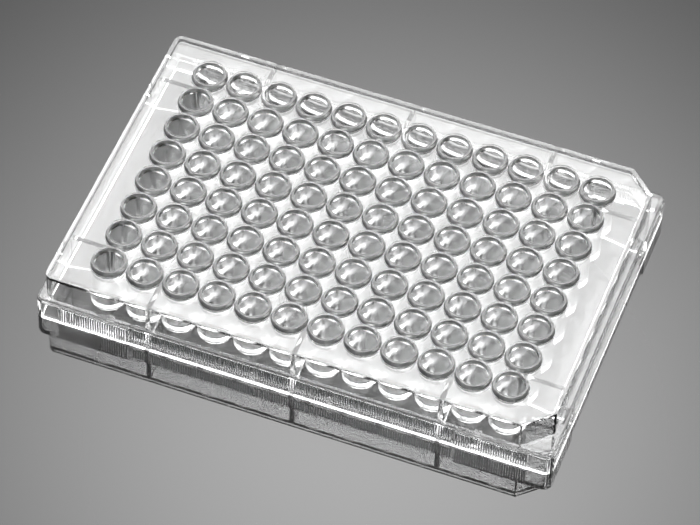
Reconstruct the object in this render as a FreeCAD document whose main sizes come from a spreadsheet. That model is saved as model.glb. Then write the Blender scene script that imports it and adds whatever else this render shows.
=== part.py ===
"""Clear 96-well plate, moulded in one piece, without its lid.

Millimetres. X runs along the long side from column 1 to column 12, Y along the short side from
row H to row A, Z up. The origin is the centre of the footprint, on the plane the plate stands on.
"""
import math
import os

import FreeCAD
import Part
import Sketcher

# Every size that shapes the plate. The names are the aliases in the "Sizes" sheet.
SIZES = {
    # well grid, and the margins from the outer wells' axes to the foot
    "well_pitch": 9.0,
    "end_margin": 14.38,
    "side_margin": 11.24,
    # skirt: the wide foot, its ledge and its low rim
    "foot_corner_r": 2.2,
    "skirt_height": 6.1,
    "skirt_edge_r": 0.8,
    "skirt_wall": 1.5,
    "ledge_thickness": 1.1,
    "foot_rim_height": 1.3,
    # set-back panels in the middle of each skirt side; the gaps run to the foot's corners
    "panel_setback": 0.65,
    "long_panel_gap": 23.68,
    "short_panel_gap": 15.74,
    # fine upright grip grooves along the long sides
    "grip_pitch": 0.6,
    "grip_groove_width": 0.48,
    "grip_groove_depth": 0.2,
    "grip_bottom": 0.5,
    "grip_clearance": 0.1,
    "grip_corner_gap": 6.28,
    # two small round dimples in each long panel, placed above the foot's rim
    "dimple_x": 9.6,
    "dimple_rise": 0.9,
    "dimple_r": 0.75,
    "dimple_depth": 0.3,
    # upper walls, set in from the foot by the ledge, and the deck between the wells
    "end_ledge": 1.95,
    "side_ledge": 1.55,
    "upper_corner_r": 2.0,
    "corner_cut_x": 6.4,
    "corner_cut_y": 6.1,
    "upper_wall": 1.05,
    "deck_thickness": 1.0,
    "lip_width": 1.0,
    "lip_height": 0.45,
    # wells: the bore, the raised rim round its mouth and the tube below the deck
    "plate_height": 14.35,
    "mouth_r": 3.43,
    "mouth_bevel": 0.12,
    "bore_taper": 0.23,
    "floor_edge_r": 0.3,
    "floor_thickness": 1.15,
    "rim_height": 1.2,
    "rim_wall": 0.67,
    "rim_flare": 0.3,
    "tube_top_wall": 0.97,
    "tube_bottom_wall": 1.15,
    "tube_bottom": 1.6,
    # webs that tie the walls to the outer wells, lower edge rising inwards
    "web_thickness": 1.2,
    "web_low": 1.0,
    "web_high": 3.8,
    # thicker blocks inside the long skirt sides near the corners, each with a short gusset
    "block_corner_gap": 9.78,
    "block_length": 10.3,
    "block_extra": 0.45,
    "gusset_inset": 0.6,
    "gusset_thickness": 1.8,
    "gusset_reach": 1.7,
}
COLUMNS = 12
ROWS = 8
LONG_SIDE_WEBS = (-4, 0, 4)     # in well pitches: between columns 2-3, 6-7 and 10-11
SHORT_SIDE_WEBS = (-3, 3)       # in well pitches: between rows A-B and G-H
LEFT, RIGHT = "left", "right"
OVERRUN = 2                     # how far a cutting profile runs past the surface it opens


class Size:
    """A number together with the sheet expression that gives it."""

    def __init__(self, value, text=None):
        self.value = float(value)
        self.text = text if text is not None else f"{value:g}"

    def _join(self, other, sign, work_out):
        other = other if isinstance(other, Size) else Size(other)
        return Size(work_out(self.value, other.value), f"({self.text} {sign} {other.text})")

    def __add__(self, other):
        return self._join(other, "+", lambda a, b: a + b)

    def __sub__(self, other):
        return self._join(other, "-", lambda a, b: a - b)

    def __mul__(self, other):
        return self._join(other, "*", lambda a, b: a * b)

    def __truediv__(self, other):
        return self._join(other, "/", lambda a, b: a / b)

    def __neg__(self):
        return self * -1


def fill_sheet(doc):
    """Write the sizes into the sheet and return them as Size objects."""
    sheet = doc.addObject("Spreadsheet::Sheet", "Sizes")
    sheet.set("A1", "size")
    sheet.set("B1", "value in mm")
    for row, (alias, value) in enumerate(SIZES.items(), start=2):
        sheet.set(f"A{row}", alias)
        sheet.set(f"B{row}", f"{value:g}")
        sheet.setAlias(f"B{row}", alias)
    doc.recompute()
    return {alias: Size(value, f"Sizes.{alias}") for alias, value in SIZES.items()}


def add_derived_sizes(s):
    """Sizes that follow from the ones in the sheet."""
    s["foot_half_x"] = s["well_pitch"] * ((COLUMNS - 1) / 2) + s["end_margin"]
    s["foot_half_y"] = s["well_pitch"] * ((ROWS - 1) / 2) + s["side_margin"]
    s["upper_half_x"] = s["foot_half_x"] - s["end_ledge"]
    s["upper_half_y"] = s["foot_half_y"] - s["side_ledge"]
    s["deck_top"] = s["plate_height"] - s["rim_height"]
    s["deck_bottom"] = s["deck_top"] - s["deck_thickness"]
    s["ledge_bottom"] = s["skirt_height"] - s["ledge_thickness"]
    s["long_panel_half"] = s["foot_half_x"] - s["long_panel_gap"]
    s["short_panel_half"] = s["foot_half_y"] - s["short_panel_gap"]


def origin_feature(body, role):
    return next(feature for feature in body.Origin.OriginFeatures if feature.Role == role)


def new_sketch(body, name, plane, offset=(None, None, None)):
    """A sketch on one of the body's planes, moved by (x, y, z) in the sketch's own frame."""
    sketch = body.newObject("Sketcher::SketchObject", name)
    sketch.AttachmentSupport = [(origin_feature(body, plane), "")]
    sketch.MapMode = "FlatFace"
    for axis, amount in zip("xyz", offset):
        if amount is not None:
            sketch.setExpression(f"AttachmentOffset.Base.{axis}", amount.text)
    return sketch


def hold(sketch, kind, size, *references):
    """Add a dimension and bind it to its size."""
    index = sketch.addConstraint(Sketcher.Constraint(kind, *references, size.value))
    sketch.setExpression(f"Constraints[{index}]", size.text)


def pin(sketch, geometry, point, x, y):
    """Hold both coordinates of a point, measured from the sketch's origin."""
    for kind, size, axis in (("DistanceX", x, -2), ("DistanceY", y, -1)):
        if abs(size.value) < 1e-9:
            sketch.addConstraint(Sketcher.Constraint("PointOnObject", geometry, point, axis))
        else:
            hold(sketch, kind, size, -1, 1, geometry, point)


def arc_between(start, end, radius):
    """The short counter-clockwise arc of that radius from start to end."""
    half_chord = (end - start).Length / 2
    radius = max(radius, half_chord)
    to_left = FreeCAD.Vector(start.y - end.y, end.x - start.x, 0).normalize()
    centre = (start + end) / 2 + to_left * math.sqrt(radius ** 2 - half_chord ** 2)
    angles = [math.atan2(p.y - centre.y, p.x - centre.x) for p in (start, end)]
    return Part.ArcOfCircle(Part.Circle(centre, FreeCAD.Vector(0, 0, 1), radius), *angles)


def draw_loop(sketch, corners):
    """Draw a closed loop. A corner is (x, y), or (x, y, turn, radius) where the way on to the next
    corner is an arc that turns LEFT or RIGHT instead of a straight line."""
    points = [FreeCAD.Vector(corner[0].value, corner[1].value, 0) for corner in corners]
    ends = []
    for i, corner in enumerate(corners):
        start, end = points[i], points[(i + 1) % len(points)]
        if len(corner) == 2:
            sketch.addGeometry(Part.LineSegment(start, end))
        elif corner[2] == LEFT:
            sketch.addGeometry(arc_between(start, end, corner[3].value))
        else:
            sketch.addGeometry(arc_between(end, start, corner[3].value))
        ends.append((2, 1) if RIGHT in corner[2:3] else (1, 2))
    for i, corner in enumerate(corners):
        after = (i + 1) % len(corners)
        sketch.addConstraint(Sketcher.Constraint("Coincident", i, ends[i][1], after, ends[after][0]))
        pin(sketch, i, ends[i][0], corner[0], corner[1])
        if len(corner) == 4:
            hold(sketch, "Radius", corner[3], i)


def rectangle(x0, y0, x1, y1):
    return [(x0, y0), (x1, y0), (x1, y1), (x0, y1)]


def rounded_rectangle(half_x, half_y, r):
    return [(-half_x + r, -half_y), (half_x - r, -half_y, LEFT, r),
            (half_x, -half_y + r), (half_x, half_y - r, LEFT, r),
            (half_x - r, half_y), (-half_x + r, half_y, LEFT, r),
            (-half_x, half_y - r), (-half_x, -half_y + r, LEFT, r)]


def upper_outline(s, inset):
    """The upper walls' outline moved inwards: round at column 1, cut straight at column 12."""
    half_x, half_y = s["upper_half_x"] - inset, s["upper_half_y"] - inset
    r = s["upper_corner_r"] - inset
    shorter = inset * (2 - math.sqrt(2))
    cut_x, cut_y = s["corner_cut_x"] - shorter, s["corner_cut_y"] - shorter
    return [(-half_x + r, -half_y), (half_x - cut_x, -half_y),
            (half_x, -half_y + cut_y), (half_x, half_y - cut_y),
            (half_x - cut_x, half_y), (-half_x + r, half_y, LEFT, r),
            (-half_x, half_y - r), (-half_x, -half_y + r, LEFT, r)]


def extrude(body, kind, name, sketch, length, reverse=False, both_ways=False):
    """A Pad or a Pocket of that length. An upright cut from a sketch lying flat is reversed."""
    feature = body.newObject(f"PartDesign::{kind}", name)
    feature.Profile = sketch
    feature.setExpression("Length", length.text)
    feature.Reversed = reverse
    if both_ways:
        feature.SideType = "Symmetric"
    body.Document.recompute()
    return feature


def revolve(body, kind, name, sketch):
    """A full turn about the sketch's own upright axis."""
    feature = body.newObject(f"PartDesign::{kind}", name)
    feature.Profile = sketch
    feature.ReferenceAxis = (sketch, ["V_Axis"])
    body.Document.recompute()
    return feature


def repeat(body, name, originals, runs=(), flips=()):
    """Repeat features in straight runs (axis, reverse, spacing, times), then mirror them."""
    steps = body.newObject("PartDesign::MultiTransform", name)
    steps.Originals = originals
    transformations = []
    for axis, reverse, spacing, times in runs:
        run = body.newObject("PartDesign::LinearPattern", f"{name}Along{axis[0]}")
        run.Direction = (origin_feature(body, axis), [""])
        run.Reversed = reverse
        run.Mode = "Spacing"
        run.setExpression("Offset", spacing.text)
        run.Occurrences = times
        transformations.append(run)
    for plane in flips:
        flip = body.newObject("PartDesign::Mirrored", f"{name}Across{plane[:2]}")
        flip.MirrorPlane = (origin_feature(body, plane), [""])
        transformations.append(flip)
    steps.Transformations = transformations
    body.Tip = steps
    body.Document.recompute()


def build_skirt(body, s):
    """The skirt as a solid block with a rounded top edge and four set-back panels."""
    half_x, half_y, edge_r = s["foot_half_x"], s["foot_half_y"], s["skirt_edge_r"]
    sketch = new_sketch(body, "FootOutline", "XY_Plane")
    draw_loop(sketch, rounded_rectangle(half_x, half_y, s["foot_corner_r"]))
    skirt = extrude(body, "Pad", "Skirt", sketch, s["skirt_height"])

    top = max(skirt.Shape.Faces, key=lambda face: face.CenterOfMass.z)
    rounding = body.newObject("PartDesign::Fillet", "SkirtEdge")
    rounding.Base = (skirt, [f"Edge{i}" for i, edge in enumerate(skirt.Shape.Edges, start=1)
                             if any(edge.isSame(rim) for rim in top.Edges)])
    rounding.setExpression("Radius", edge_r.text)
    body.Document.recompute()

    for name, plane, half_depth, half_span, flip in (
            ("Long", "YZ_Plane", half_y, s["long_panel_half"], "XZ_Plane"),
            ("Short", "XZ_Plane", half_x, s["short_panel_half"], "YZ_Plane")):
        face, outside = half_depth - s["panel_setback"], half_depth + OVERRUN
        bottom, shoulder = s["foot_rim_height"], s["skirt_height"] - edge_r
        above = s["skirt_height"] + OVERRUN
        sketch = new_sketch(body, f"{name}PanelProfile", plane)
        draw_loop(sketch, [
            (face, bottom), (outside, bottom), (outside, above), (face - edge_r, above),
            (face - edge_r, s["skirt_height"], RIGHT, edge_r), (face, shoulder)])
        panel = extrude(body, "Pocket", f"{name}Panel", sketch, half_span * 2, both_ways=True)
        repeat(body, f"{name}Panels", [panel], flips=[flip])


def cut_dimples(body, s):
    """Two round dimples in each long panel."""
    sketch = new_sketch(body, "DimpleOutline", "XZ_Plane",
                        (None, None, s["foot_half_y"] - s["panel_setback"]))
    x, z = s["dimple_x"], s["foot_rim_height"] + s["dimple_rise"]
    centre = FreeCAD.Vector(x.value, z.value, 0)
    sketch.addGeometry(Part.Circle(centre, FreeCAD.Vector(0, 0, 1), s["dimple_r"].value))
    pin(sketch, 0, 3, x, z)
    hold(sketch, "Radius", s["dimple_r"], 0)
    dimple = extrude(body, "Pocket", "Dimple", sketch, s["dimple_depth"])
    repeat(body, "Dimples", [dimple], flips=["YZ_Plane", "XZ_Plane"])


def build_upper(body, s):
    """The upper walls and deck as a block, then the shallow recess on top and the hollow below."""
    lip_top = s["deck_top"] + s["lip_height"]
    sketch = new_sketch(body, "UpperOutline", "XY_Plane")
    draw_loop(sketch, upper_outline(s, Size(0)))
    extrude(body, "Pad", "UpperBlock", sketch, lip_top)

    sketch = new_sketch(body, "DeckOutline", "XY_Plane", (None, None, lip_top))
    draw_loop(sketch, upper_outline(s, s["lip_width"]))
    extrude(body, "Pocket", "DeckRecess", sketch, s["lip_height"])

    sketch = new_sketch(body, "UpperHollowOutline", "XY_Plane")
    draw_loop(sketch, upper_outline(s, s["upper_wall"]))
    extrude(body, "Pocket", "UpperHollow", sketch, s["deck_bottom"], reverse=True)

    wall = s["skirt_wall"]
    sketch = new_sketch(body, "SkirtHollowOutline", "XY_Plane")
    draw_loop(sketch, rounded_rectangle(s["foot_half_x"] - wall, s["foot_half_y"] - wall,
                                        s["foot_corner_r"] - wall))
    extrude(body, "Pocket", "SkirtHollow", sketch, s["ledge_bottom"], reverse=True)


def build_webs(body, s):
    """Webs from the skirt and upper walls to the outer wells; each end is buried in its wall."""
    deck_middle = s["deck_bottom"] + s["deck_thickness"] / 2
    ledge_middle = s["ledge_bottom"] + s["ledge_thickness"] / 2
    for name, plane, normal, axis, flip, foot, upper, wells, places in (
            ("Long", "YZ_Plane", 1, "X_Axis", "XZ_Plane",
             s["foot_half_y"], s["upper_half_y"], ROWS, LONG_SIDE_WEBS),
            ("Short", "XZ_Plane", -1, "Y_Axis", "YZ_Plane",
             s["foot_half_x"], s["upper_half_x"], COLUMNS, SHORT_SIDE_WEBS)):
        outer_well = s["well_pitch"] * ((wells - 1) / 2)
        in_skirt, in_wall = foot - s["skirt_wall"] / 2, upper - s["upper_wall"] / 2
        sketch = new_sketch(body, f"{name}WebProfile", plane,
                            (None, None, s["well_pitch"] * (places[0] * normal)))
        draw_loop(sketch, [
            (outer_well, s["web_high"]), (in_skirt, s["web_low"]), (in_skirt, ledge_middle),
            (in_wall, ledge_middle), (in_wall, deck_middle), (outer_well, deck_middle)])
        web = extrude(body, "Pad", f"{name}Web", sketch, s["web_thickness"], both_ways=True)
        spacing = s["well_pitch"] * (places[1] - places[0])
        repeat(body, f"{name}Webs", [web], runs=[(axis, False, spacing, len(places))], flips=[flip])


def build_blocks(body, s):
    """Thicker blocks inside the long skirt sides near the corners, each with a short gusset."""
    inner = s["foot_half_y"] - s["skirt_wall"]
    in_skirt = s["foot_half_y"] - s["skirt_wall"] / 2
    ledge_middle = s["ledge_bottom"] + s["ledge_thickness"] / 2
    block_to = s["foot_half_x"] - s["block_corner_gap"]
    block_from = block_to - s["block_length"]
    sketch = new_sketch(body, "BlockOutline", "XY_Plane")
    draw_loop(sketch, rectangle(block_from, inner - s["block_extra"], block_to, in_skirt))
    block = extrude(body, "Pad", "Block", sketch, ledge_middle)
    gusset_from = block_from + s["gusset_inset"]
    sketch = new_sketch(body, "GussetOutline", "XY_Plane", (None, None, s["web_low"]))
    draw_loop(sketch, rectangle(gusset_from, inner - s["gusset_reach"],
                                gusset_from + s["gusset_thickness"], in_skirt))
    gusset = extrude(body, "Pad", "Gusset", sketch, ledge_middle - s["web_low"])
    repeat(body, "Blocks", [block, gusset], flips=["YZ_Plane", "XZ_Plane"])


def build_wells(body, s):
    """Solid tubes with their raised rims first, then the bores, both on the same grid."""
    first_x = s["well_pitch"] * (-(COLUMNS - 1) / 2)
    first_y = s["well_pitch"] * ((ROWS - 1) / 2)
    grid = [("X_Axis", False, s["well_pitch"], COLUMNS), ("Y_Axis", True, s["well_pitch"], ROWS)]
    axis, top, mouth_r = Size(0), s["plate_height"], s["mouth_r"]
    floor, floor_r = s["tube_bottom"] + s["floor_thickness"], mouth_r - s["bore_taper"]
    rim_r = mouth_r + s["rim_wall"]

    sketch = new_sketch(body, "TubeProfile", "XZ_Plane", (first_x, None, -first_y))
    draw_loop(sketch, [
        (axis, s["tube_bottom"]), (floor_r + s["tube_bottom_wall"], s["tube_bottom"]),
        (mouth_r + s["tube_top_wall"], s["deck_bottom"]), (rim_r + s["rim_flare"], s["deck_top"]),
        (rim_r, top), (axis, top)])
    tube = revolve(body, "Revolution", "Tube", sketch)
    repeat(body, "Tubes", [tube], runs=grid)

    edge_r, bevel = s["floor_edge_r"], s["mouth_bevel"]
    sketch = new_sketch(body, "BoreProfile", "XZ_Plane", (first_x, None, -first_y))
    draw_loop(sketch, [
        (axis, floor), (floor_r - edge_r, floor, LEFT, edge_r), (floor_r, floor + edge_r),
        (mouth_r, top - bevel), (mouth_r + bevel, top), (axis, top)])
    bore = revolve(body, "Groove", "Bore", sketch)
    repeat(body, "Bores", [bore], runs=grid)


def cut_grip_grooves(body, s):
    """Upright V grooves in the long panels and in the skirt between them and the corners."""
    half_width, depth = s["grip_groove_width"] / 2, s["grip_groove_depth"]
    face, pitch, panel_end = -s["foot_half_y"], s["grip_pitch"], s["long_panel_half"]
    top = s["skirt_height"] - s["skirt_edge_r"] - s["grip_clearance"]
    beside = s["long_panel_gap"] - s["grip_corner_gap"]
    for name, x, surface, bottom, room in (
            ("Panel", pitch / 2, face + s["panel_setback"],
             s["foot_rim_height"] + s["grip_clearance"], panel_end - pitch),
            ("Side", panel_end + pitch, face, s["grip_bottom"], beside)):
        sketch = new_sketch(body, f"{name}GrooveOutline", "XY_Plane", (None, None, bottom))
        draw_loop(sketch, [
            (x - half_width, surface - OVERRUN / 4), (x + half_width, surface - OVERRUN / 4),
            (x + half_width, surface), (x, surface + depth), (x - half_width, surface)])
        groove = extrude(body, "Pocket", f"{name}Groove", sketch, top - bottom, reverse=True)
        times = math.floor(round(room.value / pitch.value, 6))
        repeat(body, f"{name}Grooves", [groove], runs=[("X_Axis", False, pitch, times)],
               flips=["YZ_Plane", "XZ_Plane"])


def check(doc, body):
    """Stop rather than write a part with a failed feature or a broken solid."""
    failed = [item.Name for item in doc.Objects if {"Invalid", "Error"} & set(item.State)]
    if failed:
        raise RuntimeError(f"features that failed: {failed}")
    shape = body.Shape
    if shape.isNull() or not shape.isValid() or len(shape.Solids) != 1:
        raise RuntimeError(f"{body.Label} isn't one valid solid")


def main():
    doc = FreeCAD.newDocument("well_plate")
    s = fill_sheet(doc)
    add_derived_sizes(s)
    body = doc.addObject("PartDesign::Body", "well_plate")
    body.Label = "well_plate"
    body.Placement = FreeCAD.Placement()
    for step in (build_skirt, cut_dimples, build_upper, build_webs, build_blocks, build_wells,
                 cut_grip_grooves):
        step(body, s)
    doc.recompute()
    check(doc, body)
    os.makedirs("parts", exist_ok=True)
    body.Shape.exportStep(f"parts/{body.Label}.step")


if __name__ == "__main__":
    main()
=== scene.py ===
"""Looks of the clear well plate: its moulded polystyrene, the studio round it and the camera.

Metres, in the part's own frame: X along the long side, Z up, the plate standing on Z = 0.
"""

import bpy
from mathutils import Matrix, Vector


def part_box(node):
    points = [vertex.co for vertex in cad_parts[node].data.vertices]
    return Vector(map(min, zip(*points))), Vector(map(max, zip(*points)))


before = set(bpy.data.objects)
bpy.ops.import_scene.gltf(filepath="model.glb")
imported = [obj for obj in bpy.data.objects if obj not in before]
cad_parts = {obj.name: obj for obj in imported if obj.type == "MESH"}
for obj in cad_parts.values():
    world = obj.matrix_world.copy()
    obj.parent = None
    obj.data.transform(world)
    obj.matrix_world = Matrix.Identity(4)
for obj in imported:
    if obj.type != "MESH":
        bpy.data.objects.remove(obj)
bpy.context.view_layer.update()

import math

import bpy
from mathutils import Matrix, Vector

MM = 0.001
NODE = "well_plate"
WHITE = (1, 1, 1, 1)

# the plate's own sizes, which say where each finish goes
PITCH = 9 * MM                          # from one well's axis to the next
GRID_HALF = (54 * MM, 36 * MM)          # twelve by eight wells
TUBE_R = (2.6 * MM, 4.9 * MM)           # the radii between which a surface belongs to a well's tube
TUBE_SOFTNESS = (1.05, 0.97)            # shares of those radii where a tube's finishes are at full strength
WALL_TILT = (0.2, 0.6)                  # a wall's finishes fade out as it turns this far from upright
RIM_BASE = 13.2 * MM                    # just above the deck, where the rims start
RIM_R = 3.3 * MM                        # just inside a well's mouth
GRIP_PITCH = 0.6 * MM                   # grip grooves: middles at odd half pitches in the long panels
GRIP_PANEL_HALF = 40.5 * MM             # and at whole pitches beyond this
GRIP_Y = 41.6 * MM
GRIP_TOP = 5.3 * MM
GRIP_FLANK = (0.4, 0.9)                 # how far a groove's flanks turn towards X
GROOVE_SHADE_FADE = (0.1, 0.35)               # pitches from a groove's middle over which its painted shade thins out
SCUFF_TOP = 0.5 * MM

# the plastic: what it bends, its bumps, its colours and what each finish adds to its roughness
PLASTIC_IOR = 1.59
RIPPLE_DEPTH, RIPPLE_SCALE = 0.002 * MM, 260.0
LINE_DEPTH, LINE_SCALE = 0.022 * MM, 20.0
LINE_DRIFT = 12.0                       # how much the draw lines change up a tube, per metre
WELL_SHIFT, ROW_SHIFT = 3.7, 17.3       # what makes them differ between wells and between rows
TINT, TINT_SCALE = (0.985, 0.99, 0.99, 1), 45.0
# painted shade, laid in the grip grooves and along the tubes' draw lines
PAINTED_SHADE_COLOUR = (0.12, 0.12, 0.12, 1)
STREAK_PAINTED_SHADE, STREAK_NOISE = 0.22, (0.5, 0.62)     # the most painted shade in a draw line, and where it starts
HAZE, HAZE_SCALE, HAZE_NOISE = 0.02, 90.0, (0.35, 0.7)
TUBE_HAZE, RIM_HAZE, GROOVE_HAZE = 0.05, 0.25, 0.4
SCUFF_HAZE, SCUFF_SCALE, SCUFF_NOISE = 0.16, 1400.0, (0.45, 0.65)

# the studio: a glow is the brightness that a mirror would show, where 1 is white
MAIN = (-0.206, 0.605, 0.77)            # towards the softbox that the deck and the floor mirror
SOFTBOX_DISTANCE, OVERHEAD_DISTANCE = 1.2, 1.5
MAIN_SIZE, RING_SIZE, OVERHEAD_SIZE = (0.9, 0.55), (0.9, 0.4), (0.7, 0.7)
MAIN_GLOW, OVERHEAD_GLOW = 4.4, 3.0
RING_GLOWS = (2.6, 1.6, 0.4, 0.9, 2.6)  # the ring's other softboxes, in turn from the main one
MAIN_FADE = (0.5, 0.6)                  # shares of the main softbox's sides over which it dims
EDGE_GLOW = 0.75                        # what its brightness falls towards, against its middle
WORLD_LIGHT, WORLD_SHOWN = 0.1, 1.0
FLOOR_SIZE, FLOOR_GAP = 6, 0.1 * MM
FLOOR_COLOUR, FLOOR_ROUGHNESS, FLOOR_IOR = (0.02, 0.02, 0.02, 1), 0.02, 1.5
# a painted pool of light: the floor's reflection is strongest round FLOOR_MIDDLE and fades out over
# FLOOR_FADE
FLOOR_MIDDLE, FLOOR_TURN = (0.024, -0.050), math.radians(20.6)
FLOOR_POLISH_AND_PAINTED_GLOW, FLOOR_FADE = 0.90, (0.118, 0.138)

# the camera: where it stands, where it looks, and its turn about that line
LENS, SENSOR_WIDTH, CLIP_START = 207.7, 36, 0.01
CAMERA_PLACE = (0.19668, -0.58007, 0.73794)
CAMERA_TARGET = (-0.95 * MM, -0.26 * MM, 0)
CAMERA_ROLL = math.radians(2.258)
BOUNCES, GLOSSY_BOUNCES = 24, 12        # enough to pass through tubes, deck and skirt


class Nodes:
    """Short calls for building one node tree."""

    def __init__(self, tree):
        self.tree = tree
        tree.nodes.clear()

    def add(self, kind, settings=None, **inputs):
        """A node with attributes set from settings and sockets filled or linked from inputs."""
        node = self.tree.nodes.new(kind)
        for name, value in (settings or {}).items():
            setattr(node, name, value)
        for name, value in inputs.items():
            self.feed(node.inputs[name.replace("_", " ")], value)
        return node

    def feed(self, socket, value):
        if isinstance(value, bpy.types.NodeSocket):
            self.tree.links.new(value, socket)
        elif value is not None:
            socket.default_value = value

    def math(self, operation, a, b=None, clamp=False):
        node = self.tree.nodes.new("ShaderNodeMath")
        node.operation, node.use_clamp = operation, clamp
        self.feed(node.inputs[0], a)
        self.feed(node.inputs[1], b)
        return node.outputs[0]

    def product(self, first, *others):
        for other in others:
            first = self.math("MULTIPLY", first, other)
        return first

    def above(self, value, threshold):
        return self.math("GREATER_THAN", value, threshold)

    def below(self, value, threshold):
        return self.math("LESS_THAN", value, threshold)

    def bell(self, distance):
        """1 where the distance is 0, falling smoothly to 1/e where it is 1."""
        return self.math("EXPONENT", self.math("MULTIPLY", self.math("POWER", distance, 2), -1.0))

    def scale(self, value, from_low, from_high, to_low, to_high, smooth=False):
        node = self.add("ShaderNodeMapRange", {"interpolation_type": "SMOOTHSTEP" if smooth else "LINEAR"},
                        Value=value, From_Min=from_low, From_Max=from_high, To_Min=to_low, To_Max=to_high)
        return node.outputs[0]

    def noise(self, vector, scale, detail=2.0):
        return self.add("ShaderNodeTexNoise", Vector=vector, Scale=scale, Detail=detail).outputs["Fac"]

    def blend(self, factor, first, second):
        """A mix of two colours, which are the Mix node's seventh and eighth sockets."""
        node = self.add("ShaderNodeMix", {"data_type": "RGBA"}, Factor=factor)
        self.feed(node.inputs[6], first)
        self.feed(node.inputs[7], second)
        return node.outputs[2]


class Surface:
    """Where a point of the plate lies and which way it faces, as sockets of a material's nodes."""

    def __init__(self, n):
        self.place = n.add("ShaderNodeTexCoord").outputs["Object"]
        axes = n.add("ShaderNodeSeparateXYZ", Vector=self.place).outputs
        self.along, self.side = (n.math("ABSOLUTE", axis) for axis in axes[:2])
        self.height = axes[2]
        normal = n.add("ShaderNodeNewGeometry").outputs["True Normal"]
        facing = n.add("ShaderNodeSeparateXYZ", Vector=normal).outputs
        self.endways = n.math("ABSOLUTE", facing["X"])
        upright = n.scale(n.math("ABSOLUTE", facing["Z"]), *WALL_TILT, 1.0, 0.0)

        # the grid of wells: which cell, and where in it from the well's axis
        turns = [n.math("DIVIDE", axis, PITCH) for axis in axes[:2]]
        self.cell = [n.math("FLOOR", turn) for turn in turns]
        self.from_axis = [n.math("MULTIPLY", n.math("SUBTRACT", n.math("FRACT", turn), 0.5), PITCH)
                          for turn in turns]
        self.radius = n.math("SQRT", n.math("ADD", *(n.math("POWER", part, 2) for part in self.from_axis)))
        inner, outer = TUBE_R
        self.on_tube = n.product(n.scale(self.radius, inner, inner * TUBE_SOFTNESS[0], 0.0, 1.0),
                                 n.scale(self.radius, outer * TUBE_SOFTNESS[1], outer, 1.0, 0.0),
                                 n.below(self.along, GRID_HALF[0]), n.below(self.side, GRID_HALF[1]))
        self.tube_walls = n.math("MULTIPLY", self.on_tube, upright)


def draw_lines(n, at):
    """Noise on the tubes' walls that changes round each well's axis and hardly at all along it."""
    cell = n.math("ADD", at.cell[0], n.math("MULTIPLY", at.cell[1], ROW_SHIFT))
    round_axis = n.add("ShaderNodeCombineXYZ", X=n.math("DIVIDE", at.from_axis[0], at.radius),
                       Y=n.math("DIVIDE", at.from_axis[1], at.radius),
                       Z=n.math("ADD", n.math("MULTIPLY", at.height, LINE_DRIFT),
                                n.math("MULTIPLY", cell, WELL_SHIFT)))
    return n.math("MULTIPLY", n.noise(round_axis.outputs[0], LINE_SCALE, 3.0), at.tube_walls)


def painted_groove_shade(n, at):
    """Painted shade in the grip grooves, darkest along the bottom of each."""
    beyond = n.math("MULTIPLY", n.above(at.along, GRIP_PANEL_HALF), 0.5)
    phase = n.math("FRACT", n.math("ADD", n.math("DIVIDE", at.along, GRIP_PITCH), beyond))
    groove = n.scale(n.math("ABSOLUTE", n.math("SUBTRACT", phase, 0.5)), *GROOVE_SHADE_FADE, 1.0, 0.0)
    return n.product(n.above(at.endways, GRIP_FLANK[0]), n.below(at.endways, GRIP_FLANK[1]),
                     n.above(at.side, GRIP_Y), n.below(at.height, GRIP_TOP), groove)


def colour(n, at, lines, groove_shade):
    """Nearly white, with painted shade in the grooves and along the draw lines."""
    tint = n.blend(n.noise(at.place, TINT_SCALE), WHITE, TINT)
    # painted shade along the draw lines, strongest where their noise is high
    shade_streaks = n.math("MULTIPLY", n.scale(lines, *STREAK_NOISE, 0.0, STREAK_PAINTED_SHADE), at.tube_walls)
    # painted shade in the grooves and along the draw lines, laid over the tint
    return n.blend(n.math("MAXIMUM", groove_shade, shade_streaks), tint, PAINTED_SHADE_COLOUR)


def roughness(n, at, groove_shade):
    """The faintest haze, more on tubes, rims and the grooves under painted shade, and scuffs where the foot
    slides on a bench.
    """
    haze = n.scale(n.noise(at.place, HAZE_SCALE, 3.0), *HAZE_NOISE, 0.0, HAZE)
    rims = n.product(n.above(at.height, RIM_BASE), n.above(at.radius, RIM_R), at.on_tube)
    low_down = n.scale(at.height, 0.0, SCUFF_TOP, 1.0, 0.0, smooth=True)
    specks = n.scale(n.noise(at.place, SCUFF_SCALE, 4.0), *SCUFF_NOISE, 0.0, 1.0)
    scuffs = n.math("MULTIPLY", low_down, specks)
    finishes = ((at.tube_walls, TUBE_HAZE), (rims, RIM_HAZE), (scuffs, SCUFF_HAZE), (groove_shade, GROOVE_HAZE))
    for place, more in finishes:
        haze = n.math("ADD", haze, n.math("MULTIPLY", place, more))
    return haze


def relief(n, at, lines):
    """Flow ripples all over and draw lines on the tubes."""
    ripples = n.add("ShaderNodeBump", Strength=1.0, Distance=RIPPLE_DEPTH,
                    Height=n.noise(at.place, RIPPLE_SCALE, 1.0))
    return n.add("ShaderNodeBump", Strength=1.0, Distance=LINE_DEPTH, Height=lines,
                 Normal=ripples.outputs[0]).outputs[0]


def clear_polystyrene():
    """Clear moulded plastic with the marks of its tool and of a little use, and painted shade in its grip
    grooves and along its draw lines.
    """
    material = bpy.data.materials.new("clear_polystyrene")
    material.use_nodes = True
    n = Nodes(material.node_tree)
    at = Surface(n)
    lines, groove_shade = draw_lines(n, at), painted_groove_shade(n, at)
    shader = n.add("ShaderNodeBsdfPrincipled", Base_Color=colour(n, at, lines, groove_shade),
                   Roughness=roughness(n, at, groove_shade), Normal=relief(n, at, lines),
                   IOR=PLASTIC_IOR, Transmission_Weight=1.0)
    n.add("ShaderNodeOutputMaterial", Surface=shader.outputs[0])
    return material


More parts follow.
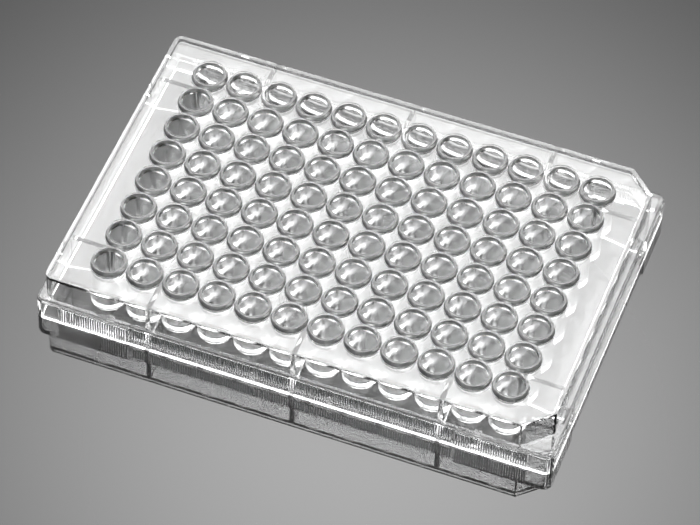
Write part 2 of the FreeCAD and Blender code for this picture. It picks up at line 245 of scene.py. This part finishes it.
def floor_with_painted_glow():
    """A dark glossy sheet with a painted pool of light: its specular level is strongest at FLOOR_MIDDLE and
    fades, so it dims towards the far corners.
    """
    material = bpy.data.materials.new("studio_floor")
    material.use_nodes = True
    n = Nodes(material.node_tree)
    place = n.add("ShaderNodeMapping", {"vector_type": "TEXTURE"}, Location=(*FLOOR_MIDDLE, 0),
                  Rotation=(0, 0, FLOOR_TURN), Scale=(*FLOOR_FADE, 1),
                  Vector=n.add("ShaderNodeTexCoord").outputs["Object"])
    away = n.add("ShaderNodeVectorMath", {"operation": "LENGTH"}, Vector=place.outputs[0]).outputs["Value"]
    # painted pool of light: the specular level follows a bell round FLOOR_MIDDLE
    shader = n.add("ShaderNodeBsdfPrincipled", Base_Color=FLOOR_COLOUR, Roughness=FLOOR_ROUGHNESS,
                   IOR=FLOOR_IOR, Specular_IOR_Level=n.math("MULTIPLY", n.bell(away), FLOOR_POLISH_AND_PAINTED_GLOW))
    n.add("ShaderNodeOutputMaterial", Surface=shader.outputs[0])
    return material


def add_floor():
    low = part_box(NODE)[0]
    bpy.ops.mesh.primitive_plane_add(size=FLOOR_SIZE, location=(0, 0, low.z - FLOOR_GAP))
    floor = bpy.context.object
    floor.name = "studio_floor"
    floor.data.materials.append(floor_with_painted_glow())


def dim_edges(light):
    """Makes a lamp brightest in its middle, falling towards EDGE_GLOW over MAIN_FADE."""
    light.use_nodes = True
    n = Nodes(light.node_tree)
    spot = n.add("ShaderNodeSeparateXYZ", Vector=n.add("ShaderNodeNewGeometry").outputs["Parametric"]).outputs
    across, up = (n.math("DIVIDE", n.math("SUBTRACT", part, 0.5), share)
                  for part, share in zip(spot[:2], MAIN_FADE))
    away = n.math("SQRT", n.math("ADD", n.math("POWER", across, 2), n.math("POWER", up, 2)))
    glow = n.math("ADD", n.math("MULTIPLY", n.bell(away), 1.0 - EDGE_GLOW), EDGE_GLOW)
    n.add("ShaderNodeOutputLight", Surface=n.add("ShaderNodeEmission", Strength=glow).outputs[0])


def add_softbox(name, direction, distance, size, glow):
    """A flat lamp facing the origin from that direction. Only the camera can't see it."""
    light = bpy.data.lights.new(name, "AREA")
    light.shape = "RECTANGLE"
    light.size, light.size_y = size
    light.energy = glow * math.pi * size[0] * size[1]
    lamp = bpy.data.objects.new(name, light)
    bpy.context.scene.collection.objects.link(lamp)
    lamp.visible_camera = False
    towards = Vector(direction).normalized()
    lamp.location = towards * distance
    lamp.rotation_euler = towards.to_track_quat("Z", "Y").to_euler()
    return light


def add_lamps():
    """The main softbox, a ring of others evenly round the plate as high as it, and one overhead."""
    dim_edges(add_softbox("softbox", MAIN, SOFTBOX_DISTANCE, MAIN_SIZE, MAIN_GLOW))
    step_angle = math.tau / (len(RING_GLOWS) + 1)
    for step, glow in enumerate(RING_GLOWS, start=1):
        aside = Matrix.Rotation(step_angle * step, 3, "Z") @ Vector(MAIN)
        add_softbox(f"ring_{step}", aside, SOFTBOX_DISTANCE, RING_SIZE, glow)
    add_softbox("overhead", (0, 0, 1), OVERHEAD_DISTANCE, OVERHEAD_SIZE, OVERHEAD_GLOW)


def add_world():
    """Even surroundings: dim as a light, and white where seen straight, mirrored or through plastic."""
    world = bpy.data.worlds.new("studio")
    world.use_nodes = True
    n = Nodes(world.node_tree)
    path = n.add("ShaderNodeLightPath").outputs
    seen = n.math("ADD", path["Is Camera Ray"], path["Is Glossy Ray"])
    seen = n.math("ADD", seen, path["Is Transmission Ray"], clamp=True)
    strength = n.scale(seen, 0.0, 1.0, WORLD_LIGHT, WORLD_SHOWN)
    background = n.add("ShaderNodeBackground", Color=WHITE, Strength=strength)
    n.add("ShaderNodeOutputWorld", Surface=background.outputs[0])
    bpy.context.scene.world = world


def add_camera():
    camera = bpy.data.cameras.new("camera")
    camera.sensor_width, camera.lens, camera.clip_start = SENSOR_WIDTH, LENS, CLIP_START
    holder = bpy.data.objects.new("camera", camera)
    bpy.context.scene.collection.objects.link(holder)
    back = Vector(CAMERA_PLACE) - Vector(CAMERA_TARGET)
    turn = back.to_track_quat("Z", "Y").to_matrix().to_4x4() @ Matrix.Rotation(CAMERA_ROLL, 4, "Z")
    holder.matrix_world = Matrix.Translation(CAMERA_PLACE) @ turn
    bpy.context.scene.camera = holder


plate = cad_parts[NODE]
plate.data.materials.clear()
plate.data.materials.append(clear_polystyrene())
add_floor()
add_lamps()
add_world()
add_camera()

scene = bpy.context.scene
scene.view_settings.view_transform = "Standard"
scene.cycles.max_bounces = scene.cycles.transmission_bounces = BOUNCES
scene.cycles.glossy_bounces = GLOSSY_BOUNCES
